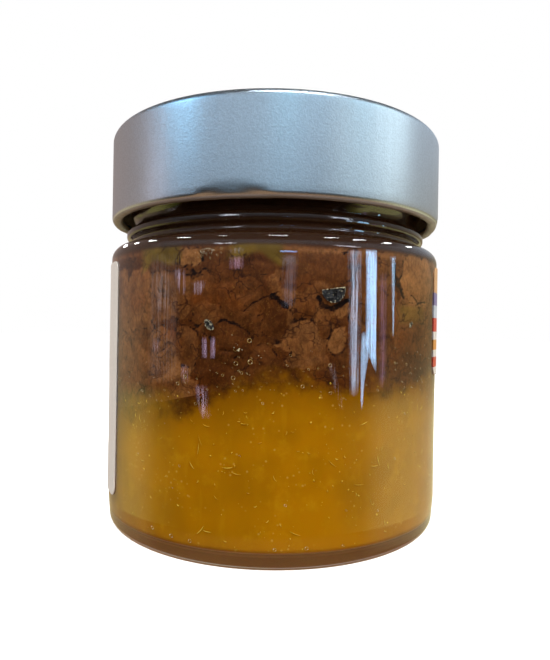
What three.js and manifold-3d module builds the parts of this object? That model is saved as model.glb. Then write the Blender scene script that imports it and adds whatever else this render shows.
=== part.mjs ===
// A small shut preserve jar: clear glass, a deep twist-off metal lid, amber marmalade below
// a bed of brown fruit pieces, and two paper labels that wrap round the sides and the back.
// Millimetres, +Z up. The origin is the middle of the foot on the table. The jar's clear
// window faces -Y, and an angle round the jar is counted from there towards +X.
import * as THREE from "three";
import { mergeVertices } from "three/addons/utils/BufferGeometryUtils.js";
import Module from "manifold-3d";

const wasm = await Module();
wasm.setup();

// Driving dimensions
const bodyRadius = 35.0; // glass body, a 70 mm jar
const wall = 2.6; // glass wall of the body
const gap = 0.3; // clearance between neighbouring pieces
const lidTop = 79.0; // whole height with the lid on
const lidRadius = 35.1;
const lidBottom = 61.1;
const lidWall = 0.8;
const panel = { edge: 31.0, drop: 0.7, slope: 0.9 }; // the lid's sunk top
const glassHeight = lidTop - panel.drop - lidWall - gap; // foot to mouth
const turns = 48; // flats round the jar and the lid

// The glass jar's outline
const foot = { inner: 27.0, punt: 0.6, heel: 3.6 };
const floorTop = 2.4; // upper side of the glass floor
const floorFillet = 2.2;
const shoulder = { start: 53.0, radius: 3.9, sweep: 78 };
const neck = { radius: 30.8, bore: 28.4, root: 57.7, lip: 1.0 };
const bead = { height: 59.5, radius: 1.15, centre: 30.6 };
const innerShoulder = { top: 57.0, radius: 3.0 };
const thread = { starts: 4, spread: 78, rise: 3.4, low: 62.0, height: 1.3, first: 18 };

// The lid's outline
const lidCorner = 1.7;
const curl = 1.0; // radius of the rolled lower edge
const button = { radius: 11.0, rise: 0.35 };
const lug = { count: 4, first: -12, width: 19, depth: 0.9, reach: 2.6 };

// The contents
const fillRadius = bodyRadius - wall - gap;
const fillBottom = floorTop + gap;
const fillTop = 66.0; // level in the neck, behind the lid
const neckFill = neck.bore - gap;
const boundary = 28.0; // mean height at which the fruit rests on the marmalade
const still = 20.0; // the marmalade below this height is plain
const fruitInset = 1.5; // how far the bed's core keeps back from the faces of the pieces
// Height of the boundary at the glass, at even steps round the jar from the front towards +X
const boundaryAtGlass = [31.0, 29.2, 29.6, 30.0, 27.0, 25.5, 28.0, 30.5, 29.0, 26.5, 25.0, 24.0, 23.8, 25.2, 28.2];
const contentTurns = 48;

// Fruit pieces that lean on the glass in the window: angle, height, half width, half height
const windowPieces = [
  [-56, 40.5, 8.5, 12.0],
  [-36, 45.5, 6.8, 7.0],
  [-33, 32.5, 7.2, 6.2],
  [-17, 45.0, 5.4, 7.5],
  [-14, 33.0, 6.0, 5.6],
  [-1, 49.0, 6.4, 4.2],
  [1, 40.0, 6.2, 5.6],
  [17, 49.2, 7.0, 4.8],
  [14, 36.4, 4.6, 4.4],
  [28, 34.0, 5.6, 7.6],
  [33, 47.5, 6.0, 5.6],
  [55, 47.6, 6.4, 6.8],
  [52, 35.4, 7.6, 5.2],
];
// Rows of pieces round the rest of the jar, and those up in the neck
const behind = { from: 76, sweep: 208, heights: [33.5, 44.0, 51.5], perRow: 5, wide: 9.4, high: 7.0 };
const inNeck = { count: 6, height: 60.5, wide: 9.0, high: 4.6 };
const piece = { thick: 5.5, sunk: 0.38, waves: 5, swell: 0.055, size: 1.08 };

// The paper labels: from one angle to another, with their lower and upper edges
const paper = 0.3;
const backLabel = { from: 204, to: 302, low: 7.2, high: 52.4 };
const frontLabel = { from: 64, to: 156, low: 31.2, high: 52.6 };
const labelCorner = 2.0;

const degrees = THREE.MathUtils.degToRad;

// Seeded random numbers from 0 to 1
function dice(seed) {
  let state = seed;
  return () => {
    state = (state * 1664525 + 1013904223) % 4294967296;
    return state / 4294967296;
  };
}

// Revolves an outline of radius and height about Z
function turned(outline, arcSteps, segments = turns) {
  const geometry = new THREE.LatheGeometry(outline.getPoints(arcSteps), segments);
  return geometry.rotateX(Math.PI / 2);
}

// Moves each vertex of a geometry by a function of its radius, angle in degrees and height
function reshape(geometry, change) {
  const places = geometry.getAttribute("position");
  for (let i = 0; i < places.count; i++) {
    const radius = Math.hypot(places.getX(i), places.getY(i));
    const angle = THREE.MathUtils.radToDeg(Math.atan2(places.getX(i), -places.getY(i)));
    const moved = change(radius, angle, places.getZ(i));
    const scale = radius > 1e-6 ? moved.radius / radius : 1;
    places.setXYZ(i, places.getX(i) * scale, places.getY(i) * scale, moved.height);
  }
  return geometry;
}

// A closed geometry as a solid for joining and cutting
function solid(geometry) {
  const bare = geometry.clone();
  for (const name of ["normal", "uv"]) bare.deleteAttribute(name);
  const merged = mergeVertices(bare, 1e-4);
  return new wasm.Manifold(
    new wasm.Mesh({
      numProp: 3,
      vertProperties: merged.getAttribute("position").array,
      triVerts: new Uint32Array(merged.index.array),
    })
  );
}

// A solid back as a geometry
function geometryOf(made) {
  const mesh = made.getMesh();
  const geometry = new THREE.BufferGeometry();
  geometry.setAttribute("position", new THREE.BufferAttribute(mesh.vertProperties, 3));
  geometry.setIndex(new THREE.BufferAttribute(mesh.triVerts, 1));
  geometry.computeVertexNormals();
  return geometry;
}

// Shortest way round from one angle to another, in degrees
function between(from, to) {
  return ((to - from + 540) % 360) - 180;
}

function jarOutline() {
  const top = degrees(shoulder.sweep);
  const corner = bodyRadius - shoulder.radius;
  const line = new THREE.Path();
  line.moveTo(0, foot.punt);
  line.lineTo(foot.inner - 2, foot.punt);
  line.lineTo(foot.inner, 0);
  line.lineTo(bodyRadius - foot.heel, 0);
  line.absarc(bodyRadius - foot.heel, foot.heel, foot.heel, -Math.PI / 2, 0);
  line.lineTo(bodyRadius, shoulder.start);
  line.absarc(corner, shoulder.start, shoulder.radius, 0, top);
  line.lineTo(neck.radius, neck.root);
  line.absarc(bead.centre, bead.height, bead.radius, -Math.PI / 3, Math.PI / 3);
  line.lineTo(neck.radius, bead.height + 1.6);
  line.lineTo(neck.radius, glassHeight - neck.lip);
  line.absarc(neck.radius - neck.lip, glassHeight - neck.lip, neck.lip, 0, Math.PI / 2);
  line.lineTo(neck.bore, glassHeight);
  line.lineTo(neck.bore, innerShoulder.top);
  const inner = bodyRadius - wall;
  line.quadraticCurveTo(inner, innerShoulder.top - 1, inner, innerShoulder.top - innerShoulder.radius - 2);
  line.lineTo(inner, floorTop + floorFillet);
  line.absarc(inner - floorFillet, floorTop + floorFillet, floorFillet, 0, -Math.PI / 2, true);
  line.lineTo(0, floorTop);
  return line;
}

// One sloping thread of the finish, thick in the middle and running out at both ends
function threadLug(start) {
  const steps = 8;
  const points = [];
  for (let i = 0; i <= steps; i++) {
    const share = i / steps;
    const angle = degrees(start + share * thread.spread);
    const radius = neck.radius - 0.1;
    const height = thread.low + share * thread.rise;
    points.push(new THREE.Vector3(radius * Math.sin(angle), -radius * Math.cos(angle), height));
  }
  const section = new THREE.Shape();
  section.absarc(0, 0, thread.height, 0, Math.PI * 2);
  const curve = new THREE.CatmullRomCurve3(points);
  const swept = new THREE.ExtrudeGeometry(section, { steps, curveSegments: 3, extrudePath: curve });
  return reshape(swept, (radius, angle, height) => {
    const share = between(start, angle) / thread.spread;
    const fade = Math.min(1, 6 * Math.max(0.02, Math.min(share, 1 - share)));
    return { radius: neck.radius - 0.5 + (radius - neck.radius + 0.5) * fade, height };
  });
}

function glassJar() {
  let made = solid(turned(jarOutline(), 3));
  for (let i = 0; i < thread.starts; i++) {
    made = made.add(solid(threadLug(thread.first + (i * 360) / thread.starts)));
  }
  return geometryOf(made);
}

function lidOutline() {
  const inside = lidRadius - lidWall;
  const underside = lidTop - lidWall;
  const line = new THREE.Path();
  line.moveTo(0, underside - panel.drop);
  line.lineTo(panel.edge - panel.slope, underside - panel.drop);
  line.lineTo(panel.edge, underside);
  line.lineTo(inside - 1, underside);
  line.lineTo(inside, underside - 1);
  line.lineTo(inside, lidBottom + 2 * curl);
  line.absarc(lidRadius - curl, lidBottom + curl, curl, degrees(100), degrees(360));
  line.lineTo(lidRadius, lidTop - lidCorner);
  line.absarc(lidRadius - lidCorner, lidTop - lidCorner, lidCorner, 0, Math.PI / 2);
  line.lineTo(panel.edge + 0.6, lidTop);
  line.lineTo(panel.edge - panel.slope, lidTop - panel.drop);
  line.lineTo(button.radius + 1.5, lidTop - panel.drop);
  line.lineTo(button.radius, lidTop - panel.drop + button.rise);
  line.lineTo(0, lidTop - panel.drop + button.rise);
  return line;
}

// The rolled edge is pressed in at each lug, which grips a thread of the glass
function lid() {
  return reshape(turned(lidOutline(), 3), (radius, angle, height) => {
    const step = 360 / lug.count;
    const away = Math.abs(between(lug.first, angle)) % step;
    const off = Math.min(away, step - away) / (lug.width / 2);
    const low = THREE.MathUtils.clamp((lidBottom + lug.reach - height) / lug.reach, 0, 1);
    const press = off < 1 ? lug.depth * (1 - off ** 4) * low * low * (3 - 2 * low) : 0;
    return { radius: radius > panel.edge + 1 ? radius - press : radius, height };
  });
}

// Height of the boundary between marmalade and fruit, smooth round the jar
function boundaryHeight(radius, angle) {
  const count = boundaryAtGlass.length;
  const place = (((angle + 360) % 360) / 360) * count;
  const at = (k) => boundaryAtGlass[(Math.floor(place) + k + count) % count];
  const [a, b, c, d] = [at(-1), at(0), at(1), at(2)];
  const t = place % 1;
  const curve = b + 0.5 * t * (c - a + t * (2 * a - 5 * b + 4 * c - d + t * (3 * (b - c) + d - a)));
  return boundary + (curve - boundary) * (radius / fillRadius) ** 2;
}

function marmalade() {
  const line = new THREE.Path();
  line.moveTo(0, fillBottom);
  line.lineTo(fillRadius - floorFillet, fillBottom);
  line.absarc(fillRadius - floorFillet, fillBottom + floorFillet, floorFillet, -Math.PI / 2, 0);
  line.lineTo(fillRadius, still);
  for (const share of [1, 0.96, 0.5, 0]) line.lineTo(fillRadius * share, boundary);
  return reshape(turned(line, 2, contentTurns), (radius, angle, height) => {
    const share = Math.max(0, height - still) / (boundary - still);
    return { radius, height: height + share * (boundaryHeight(radius, angle) - boundary) };
  });
}

// The space that the fruit may fill, kept back from the glass by an inset
function fruitSpace(inset) {
  const base = boundary + gap;
  const side = innerShoulder.top - innerShoulder.radius - 2 - gap;
  const line = new THREE.Path();
  line.moveTo(0, base);
  for (const share of [0.5, 0.96, 1]) line.lineTo((fillRadius - inset) * share, base);
  line.lineTo(fillRadius - inset, side - inset);
  line.quadraticCurveTo(fillRadius - inset, side + 3.4 - inset, neckFill - inset, side + 4.6 - inset);
  line.lineTo(neckFill - inset, fillTop - inset);
  line.lineTo(0, fillTop - inset);
  return reshape(turned(line, 2, contentTurns), (radius, angle, height) => {
    const low = height < base + 1 ? boundaryHeight(radius, angle) - boundary : 0;
    return { radius, height: height + low };
  });
}

// One knobbly piece of fruit, leaning on the glass at an angle and height, cut flat there later
function fruitPiece(angle, height, wide, high, random, reach = bodyRadius - wall) {
  const waves = Array.from({ length: piece.waves }, () => ({
    way: new THREE.Vector3(random() - 0.5, random() - 0.5, random() - 0.5).normalize(),
    pitch: 2.0 + 3.0 * random(),
    phase: 2 * Math.PI * random(),
  }));
  const geometry = new THREE.IcosahedronGeometry(1, 1);
  const places = geometry.getAttribute("position");
  const point = new THREE.Vector3();
  for (let i = 0; i < places.count; i++) {
    point.fromBufferAttribute(places, i);
    const swell = waves.reduce((sum, w) => sum + Math.sin(w.pitch * point.dot(w.way) + w.phase), 0);
    point.multiplyScalar(piece.size + piece.swell * swell);
    places.setXYZ(i, point.x * wide, point.y * piece.thick, point.z * high);
  }
  geometry.rotateY(0.5 * (random() - 0.5));
  geometry.translate(0, piece.thick * (1 - piece.sunk) - reach, 0);
  geometry.rotateZ(degrees(angle));
  return geometry.translate(0, 0, height);
}

function allPieces() {
  const random = dice(41);
  const pieces = windowPieces.map((row) => fruitPiece(...row, random));
  for (const height of behind.heights) {
    for (let i = 0; i < behind.perRow; i++) {
      const share = (i + 0.5 + 0.3 * (random() - 0.5)) / behind.perRow;
      const angle = behind.from + behind.sweep * share;
      const size = 0.8 + 0.4 * random();
      const lift = 3 * (random() - 0.5);
      pieces.push(fruitPiece(angle, height + lift, behind.wide * size, behind.high * size, random));
    }
  }
  for (let i = 0; i < inNeck.count; i++) {
    const angle = (360 * (i + 0.4 * random())) / inNeck.count;
    pieces.push(fruitPiece(angle, inNeck.height, inNeck.wide, inNeck.high, random, neck.bore));
  }
  return pieces;
}

function fruitBed() {
  const pieces = wasm.Manifold.union([solid(fruitSpace(fruitInset)), ...allPieces().map(solid)]);
  return geometryOf(pieces.intersect(solid(fruitSpace(0))));
}

// A sheet of paper with rounded corners, bent round the glass
function label({ from, to, low, high }) {
  const middle = (low + high) / 2;
  const radius = bodyRadius + gap;
  const length = radius * degrees(to - from);
  const cornerSteps = 3;
  const steps = 22 + 2 * cornerSteps;
  const sheet = new THREE.BoxGeometry(steps, paper, high - low, steps, 1, 1);
  const places = sheet.getAttribute("position");
  for (let i = 0; i < places.count; i++) {
    const column = Math.round(places.getX(i) + steps / 2);
    const fromEnd = Math.min(column, steps - column);
    const inCorner = 1 - Math.min(fromEnd / cornerSteps, 1);
    const run = labelCorner * (1 - Math.sin((inCorner * Math.PI) / 2));
    const cut = labelCorner * (1 - Math.cos((inCorner * Math.PI) / 2));
    const share = (fromEnd - cornerSteps) / (steps - 2 * cornerSteps);
    const along = fromEnd < cornerSteps ? run : labelCorner + share * (length - 2 * labelCorner);
    const distance = column <= steps / 2 ? along : length - along;
    const angle = degrees(from) + distance / radius;
    const out = radius + (places.getY(i) < 0 ? paper : 0);
    const height = places.getZ(i) - Math.sign(places.getZ(i)) * cut;
    places.setXYZ(i, out * Math.sin(angle), -out * Math.cos(angle), middle + height);
  }
  return sheet;
}

function finish(colour, roughness, metalness = 0, more = {}) {
  return new THREE.MeshStandardMaterial({ color: colour, roughness, metalness, ...more });
}

const jar = new THREE.Group();

function place(name, geometry, material) {
  const mesh = new THREE.Mesh(geometry, material);
  mesh.name = name;
  jar.add(mesh);
}

place("glass_jar", glassJar(), finish("#dfe6e2", 0.05, 0, { transparent: true, opacity: 0.3 }));
place("lid", lid(), finish("#a3b3c4", 0.38, 0.9));
place("marmalade", marmalade(), finish("#a86a0c", 0.35));
place("fruit_pieces", fruitBed(), finish("#6b3a1c", 0.6));
place("back_label", label(backLabel), finish("#d8d0c8", 0.7));
place("front_label", label(frontLabel), finish("#d9a06a", 0.6));

export default jar;
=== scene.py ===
import math

import bpy
import numpy as np
from bpy.props import FloatProperty, FloatVectorProperty, IntProperty, PointerProperty
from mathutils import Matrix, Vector, noise


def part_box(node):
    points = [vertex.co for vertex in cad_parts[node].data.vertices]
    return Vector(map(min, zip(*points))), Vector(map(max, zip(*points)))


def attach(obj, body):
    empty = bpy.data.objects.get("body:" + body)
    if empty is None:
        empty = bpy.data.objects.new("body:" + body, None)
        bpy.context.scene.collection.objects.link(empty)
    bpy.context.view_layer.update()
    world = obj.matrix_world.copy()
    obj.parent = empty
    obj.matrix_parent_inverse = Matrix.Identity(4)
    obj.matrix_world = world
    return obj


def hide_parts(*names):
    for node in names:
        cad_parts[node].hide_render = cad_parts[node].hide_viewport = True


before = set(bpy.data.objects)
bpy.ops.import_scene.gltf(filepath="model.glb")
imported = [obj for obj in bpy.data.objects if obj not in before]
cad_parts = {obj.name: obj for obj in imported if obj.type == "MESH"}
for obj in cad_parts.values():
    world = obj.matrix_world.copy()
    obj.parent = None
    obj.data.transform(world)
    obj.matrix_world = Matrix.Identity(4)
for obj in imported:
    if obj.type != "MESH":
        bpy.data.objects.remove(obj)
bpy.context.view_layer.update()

bl_info = {
    "name": "Marmalade Jar",
    "version": (1, 0, 0),
    "blender": (4, 5, 0),
    "location": "3D View > Sidebar > Jar",
    "description": (
        "Adds a shut glass jar of amber marmalade under a bed of brown fruit, with its lid and labels"
    ),
    "category": "Add Mesh",
}

BODY = "root"
MM = 0.001

_, glass_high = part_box("glass_jar")
lid_low, lid_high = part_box("lid")
_, fruit_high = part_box("fruit_pieces")


# Sizes and colours that a user would change


def length(name, about, default):
    return FloatProperty(name=name, description=about, default=default, unit="LENGTH", precision=4)


def colour(name, about, default):
    return FloatVectorProperty(name=name, description=about, default=default, subtype="COLOR", min=0, max=1)


class JarSizes(bpy.types.PropertyGroup):
    body_radius: length("Body radius", "Outer radius of the glass body", glass_high.x)
    wall: length("Wall", "Thickness of the glass wall", 2.6 * MM)
    mouth: length("Mouth height", "Height of the glass jar without its lid", glass_high.z)
    sink: length("Contents in wall", "How far the contents reach into the glass wall", 0.2 * MM)
    lid_radius: length("Lid radius", "Outer radius of the lid", lid_high.x)
    lid_bottom: length("Lid bottom", "Height of the lid's rolled edge", lid_low.z)
    lid_top: length("Lid top", "Height of the lid's rim", lid_high.z)
    fill_top: length("Fill level", "Height of the contents in the neck", fruit_high.z)
    around: IntProperty(name="Steps around", description="Flats round the glass and the lid", default=256)


class JarColours(bpy.types.PropertyGroup):
    glass: colour("Glass", "Tint of the clear glass", (0.93, 0.96, 0.95))
    lid: colour("Lid", "Satin lacquer of the lid", (0.60, 0.67, 0.74))
    lacquer: colour("Lid inside", "Gold lacquer inside the lid's rolled edge", (0.41, 0.42, 0.46))
    amber: colour("Amber", "Marmalade by the window", (0.38, 0.153, 0.0006))
    dark: colour("Dark", "Darkest stewed fruit", (0.045, 0.011, 0.0015))
    brown: colour("Brown", "Stewed fruit", (0.118, 0.038, 0.009))
    tan: colour("Tan", "Palest fruit pieces", (0.25, 0.105, 0.032))
    olive: colour("Olive jelly", "Clear jelly round the upper pieces", (0.17, 0.100, 0.012))
    paper: colour("Paper", "Uncoated label paper", (0.72, 0.68, 0.63))


# Modelling helpers

ARC_STEP = 6.0  # degrees between the points of a rounded corner
SAME_SPOT = 1e-6  # metres within which points are one point
SMOOTH_BELOW = math.radians(40)


def deselect():
    if bpy.context.mode != "OBJECT":
        bpy.ops.object.mode_set(mode="OBJECT")
    bpy.ops.object.select_all(action="DESELECT")


def edit(piece):
    deselect()
    bpy.context.view_layer.objects.active = piece
    piece.select_set(True)
    bpy.ops.object.mode_set(mode="EDIT")


def rounded(corners):
    """Points of an outline whose corners, each (radius, height, fillet), are rounded by arcs."""
    points = [Vector(corners[0][:2])]
    for before, corner, after in zip(corners, corners[1:], corners[2:]):
        a, b, c = (Vector(p[:2]) for p in (before, corner, after))
        fillet = corner[2]
        into, out = (b - a).normalized(), (c - b).normalized()
        turn = into.angle_signed(out)
        if fillet == 0 or abs(turn) < 1e-4:
            points.append(b)
            continue
        run = fillet * math.tan(abs(turn) / 2)
        count = max(2, round(abs(math.degrees(turn)) / ARC_STEP))
        start, side = b - into * run, math.copysign(1, turn)
        normal = Vector((into.y, -into.x)) * side
        for i in range(count + 1):
            angle = abs(turn) * i / count
            points.append(start + normal * fillet * (1 - math.cos(angle)) + into * fillet * math.sin(angle))
    points.append(Vector(corners[-1][:2]))
    return points


def dense(points, step):
    """The same outline with its long stretches cut into steps."""
    out = [points[0]]
    for a, b in zip(points, points[1:]):
        count = max(1, math.ceil((b - a).length / step - 1e-6))
        out += [a.lerp(b, (i + 1) / count) for i in range(count)]
    return out


def face_outwards(piece):
    """Turns every face outwards and smooths all but the sharp edges."""
    edit(piece)
    bpy.ops.mesh.select_all(action="SELECT")
    bpy.ops.mesh.normals_make_consistent(inside=False)
    bpy.ops.object.mode_set(mode="OBJECT")
    bpy.ops.object.shade_smooth_by_angle(angle=SMOOTH_BELOW)


def turned(name, points, steps):
    """Extrudes one point along an outline of radius and height in millimetres and screws it round Z."""
    deselect()
    bpy.ops.mesh.primitive_plane_add(size=MM)
    piece = bpy.context.object
    piece.name = piece.data.name = name
    edit(piece)
    bpy.ops.mesh.merge(type="CENTER")
    bpy.ops.transform.translate(value=(points[0].x * MM, 0, points[0].y * MM))
    for a, b in zip(points, points[1:]):
        move = ((b.x - a.x) * MM, 0, (b.y - a.y) * MM)
        bpy.ops.mesh.extrude_region_move(TRANSFORM_OT_translate={"value": move})
    bpy.ops.object.mode_set(mode="OBJECT")
    screw = piece.modifiers.new("turn", "SCREW")
    screw.axis, screw.angle, screw.steps, screw.render_steps = "Z", 2 * math.pi, steps, steps
    screw.use_merge_vertices, screw.merge_threshold = True, SAME_SPOT
    bpy.ops.object.modifier_apply(modifier=screw.name)
    edit(piece)
    bpy.ops.mesh.select_all(action="SELECT")
    bpy.ops.mesh.remove_doubles(threshold=SAME_SPOT)
    face_outwards(piece)
    return piece


def places(piece):
    """Radius, angle in degrees from the front towards +X, and height of each vertex, in millimetres."""
    flat = np.empty(len(piece.data.vertices) * 3)
    piece.data.vertices.foreach_get("co", flat)
    x, y, z = flat.reshape(-1, 3).T / MM
    return np.hypot(x, y), np.degrees(np.arctan2(x, -y)), z


def put_back(piece, radius, angle, height):
    """Moves each vertex to a new radius, angle and height."""
    turn = np.radians(angle)
    spots = np.stack([radius * np.sin(turn), -radius * np.cos(turn), height], axis=1) * MM
    piece.data.vertices.foreach_set("co", spots.ravel())
    piece.data.update()


def paint(piece, name, values):
    """Stores one number for each vertex, for a material to read."""
    layer = piece.data.attributes.new(name, "FLOAT", "POINT")
    layer.data.foreach_set("value", np.asarray(values, dtype=np.float32))


def ball():
    """The small ball that beads, glints and flecks are copies of."""
    bpy.ops.mesh.primitive_ico_sphere_add(subdivisions=1, radius=1)
    return bpy.context.object


def disc(sides):
    """The flat disc that air pockets are copies of."""
    bpy.ops.mesh.primitive_circle_add(vertices=sides, radius=1, fill_type="TRIFAN")
    return bpy.context.object


def scattered(name, pattern, spots, slot, material):
    """Adds one mesh of many copies of a small object, bent round the jar, in place of the object.

    Each spot gives radius, angle and height, then the copy's width, height, depth and tilt.
    """
    unit = np.array([vertex.co for vertex in pattern.data.vertices])
    faces = [tuple(face.vertices) for face in pattern.data.polygons]
    bpy.data.objects.remove(pattern)
    columns = np.array(spots, dtype=float).T[:, :, None]
    radius, angle, height, wide, tall, deep, tilt = columns
    c, s = np.cos(np.radians(tilt)), np.sin(np.radians(tilt))
    x, y = unit[:, 0] * wide, unit[:, 1] * tall
    turn = np.radians(angle) + (x * c - y * s) / radius
    out = radius + unit[:, 2] * deep
    points = np.stack([out * np.sin(turn), -out * np.cos(turn), height + x * s + y * c], axis=-1) * MM
    mesh = bpy.data.meshes.new(name)
    step = len(unit)
    every = [tuple(i + k * step for i in face) for k in range(len(spots)) for face in faces]
    mesh.from_pydata(points.reshape(-1, 3).tolist(), [], every)
    mesh.shade_smooth()
    piece = bpy.data.objects.new(name, mesh)
    bpy.context.collection.objects.link(piece)
    finished(piece, None, slot, material)


def ramp(x, low, high):
    """Rises smoothly from 0 at the low value to 1 at the high one."""
    t = np.clip((x - low) / (high - low), 0, 1)
    return t * t * (3 - 2 * t)


def between(a, b):
    """The turn in degrees from one angle to another, the short way round."""
    return (b - a + 540) % 360 - 180


def finished(piece, node, slot, *materials):
    """Rides a piece on the jar, in place of its CAD node where it has one."""
    for material in materials:
        piece.data.materials.append(material)
    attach(piece, BODY)
    if node:
        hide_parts(node)
    deselect()


def noise_at(points, scale, seed):
    """Smooth noise from -1 to 1 at points in millimetres."""
    away = Vector((seed * 17.3, seed * 5.1, seed * 9.7))
    return np.array([noise.noise(Vector(p) * scale + away) for p in points])


# Materials


def dimmed(tone, share):
    return tuple(share * c for c in tone)


class Nodes:
    """The node tree of a new material, or of the world, written from left to right."""

    def __init__(self, name, world=None):
        self.material = world or bpy.data.materials.new(name)
        self.material.use_nodes = True
        self.tree = self.material.node_tree
        self.tree.nodes.clear()
        self.spot = self.add("ShaderNodeTexCoord").outputs["Object"]

    def add(self, kind, **options):
        node = self.tree.nodes.new(kind)
        for key, value in options.items():
            setattr(node, key, value)
        return node

    def put(self, socket, value):
        if isinstance(value, bpy.types.NodeSocket):
            self.tree.links.new(value, socket)
        elif hasattr(value, "__len__") and len(value) == 3 and socket.type == "RGBA":
            socket.default_value = (*value, 1)
        else:
            socket.default_value = value

    def stretched(self, x, y, z):
        node = self.add("ShaderNodeMapping")
        self.put(node.inputs["Vector"], self.spot)
        node.inputs["Scale"].default_value = (x, y, z)
        return node.outputs["Vector"]

    def warped(self, scale, amount):
        """Object coordinates pushed about by noise, so that what they lay out is crooked."""
        node = self.add("ShaderNodeTexNoise")
        self.put(node.inputs["Vector"], self.spot)
        node.inputs["Scale"].default_value = scale
        push = self.add("ShaderNodeVectorMath", operation="MULTIPLY_ADD")
        self.put(push.inputs[0], node.outputs["Color"])
        push.inputs[1].default_value = (amount, amount, amount)
        self.put(push.inputs[2], self.spot)
        return push.outputs[0]

    def noise(self, scale, detail=3.0, rough=0.5, spot=None, distortion=0.0):
        node = self.add("ShaderNodeTexNoise")
        self.put(node.inputs["Vector"], spot or self.spot)
        settings = {"Scale": scale, "Detail": detail, "Roughness": rough, "Distortion": distortion}
        for key, value in settings.items():
            node.inputs[key].default_value = value
        return node.outputs["Fac"]

    def cells(self, scale, feature="F1", spot=None):
        node = self.add("ShaderNodeTexVoronoi", feature=feature)
        self.put(node.inputs["Vector"], spot or self.spot)
        node.inputs["Scale"].default_value = scale
        return node.outputs["Distance"]

    def math(self, operation, a, b=0.0, clamp=False):
        node = self.add("ShaderNodeMath", operation=operation, use_clamp=clamp)
        self.put(node.inputs[0], a)
        self.put(node.inputs[1], b)
        return node.outputs[0]

    def times(self, a, b):
        return self.math("MULTIPLY", a, b)

    def swing(self, value, reach):
        """A value from 0 to 1 as an offset to either side of nothing."""
        return self.times(self.math("SUBTRACT", value, 0.5), reach)

    def range(self, value, low, high, to_low=0.0, to_high=1.0):
        node = self.add("ShaderNodeMapRange", interpolation_type="SMOOTHSTEP")
        for key, given in zip(node.inputs, (value, low, high, to_low, to_high)):
            self.put(key, given)
        return node.outputs[0]

    def mix(self, share, a, b, blend="MIX"):
        """Two colours mixed. The colour sockets come after those for numbers and vectors."""
        node = self.add("ShaderNodeMix", data_type="RGBA", blend_type=blend)
        for socket, value in ((0, share), (6, a), (7, b)):
            self.put(node.inputs[socket], value)
        return node.outputs[2]

    def mixed_shaders(self, share, a, b):
        node = self.add("ShaderNodeMixShader")
        for socket, value in zip(node.inputs, (share, a, b)):
            self.put(socket, value)
        return node.outputs[0]

    def tones(self, value, *stops):
        """Colours along a value, each stop a place and a colour."""
        node = self.add("ShaderNodeValToRGB")
        self.put(node.inputs[0], value)
        marks = node.color_ramp.elements
        for mark, (place, tone) in zip(marks, stops):
            mark.position, mark.color = place, (*tone, 1)
        for place, tone in stops[2:]:
            marks.new(place).color = (*tone, 1)
        return node.outputs[0]

    def attribute(self, name):
        return self.add("ShaderNodeAttribute", attribute_name=name).outputs["Fac"]

    def bump(self, height, strength, distance):
        node = self.add("ShaderNodeBump")
        node.inputs["Strength"].default_value = strength
        node.inputs["Distance"].default_value = distance
        self.put(node.inputs["Height"], height)
        return node.outputs["Normal"]

    def shader(self, **inputs):
        node = self.add("ShaderNodeBsdfPrincipled")
        for key, value in inputs.items():
            self.put(node.inputs[key.replace("_", " ")], value)
        return node.outputs[0]

    def done(self, surface, output="ShaderNodeOutputMaterial"):
        self.put(self.add(output).inputs["Surface"], surface)
        return self.material

    def surface(self, **inputs):
        return self.done(self.shader(**inputs))


def clear_glass(colours):
    """Smooth moulded glass. Lamps reach the contents straight through it."""
    n = Nodes("clear glass")
    waves = n.bump(n.noise(60, 1.0), 0.06, 0.4 * MM)
    tint = n.mix(n.noise(25, 1.0), tuple(colours.glass), dimmed(colours.glass, 0.985))
    glass = n.shader(Base_Color=tint, Roughness=0.0, IOR=1.5, Transmission_Weight=1.0, Normal=waves)
    path = n.add("ShaderNodeLightPath")
    through = n.math("MAXIMUM", path.outputs["Is Shadow Ray"], path.outputs["Is Diffuse Ray"])
    clear = n.add("ShaderNodeBsdfTransparent")
    n.put(clear.inputs["Color"], (0.96, 0.97, 0.965))
    return n.done(n.mixed_shaders(through, glass, clear.outputs[0]))


def lid_metal(colours):
    """Satin lacquered tinplate with a fine orange-peel grain and faint vertical drawing marks."""
    n = Nodes("satin lid")
    grain = n.noise(3100, 2.0, 0.7)
    drawn = n.noise(1.0, 3.0, 0.6, n.stretched(900, 900, 30))
    cloud = n.noise(70, 2.0)
    rough = n.range(n.math("ADD", n.times(drawn, 0.5), n.times(cloud, 0.5)), 0.3, 0.7, 0.29, 0.37)
    tone = n.mix(n.times(drawn, 0.15), tuple(colours.lid), dimmed(colours.lid, 0.86))
    tone = n.mix(n.range(grain, 0.35, 0.65, 0.0, 0.4), tone, dimmed(colours.lid, 0.66))
    normal = n.bump(grain, 0.9, 0.035 * MM)
    return n.surface(Base_Color=tone, Metallic=1.0, Roughness=rough, Normal=normal)


def lid_lacquer(colours):
    """Grey lacquer round under the lid's rolled edge."""
    n = Nodes("edge lacquer")
    tone = n.mix(n.noise(400, 2.0), tuple(colours.lacquer), dimmed(colours.lacquer, 0.75))
    rough = n.range(n.noise(900), 0.3, 0.7, 0.35, 0.5)
    return n.surface(Base_Color=tone, Metallic=0.4, Roughness=rough)


def pale_varnish():
    """Matt grey-buff varnish on the lid's hidden inside."""
    n = Nodes("pale varnish")
    tone = n.mix(n.noise(300, 2.0), (0.80, 0.73, 0.62), (0.68, 0.61, 0.51))
    return n.surface(Base_Color=tone, Roughness=0.5)


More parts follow.
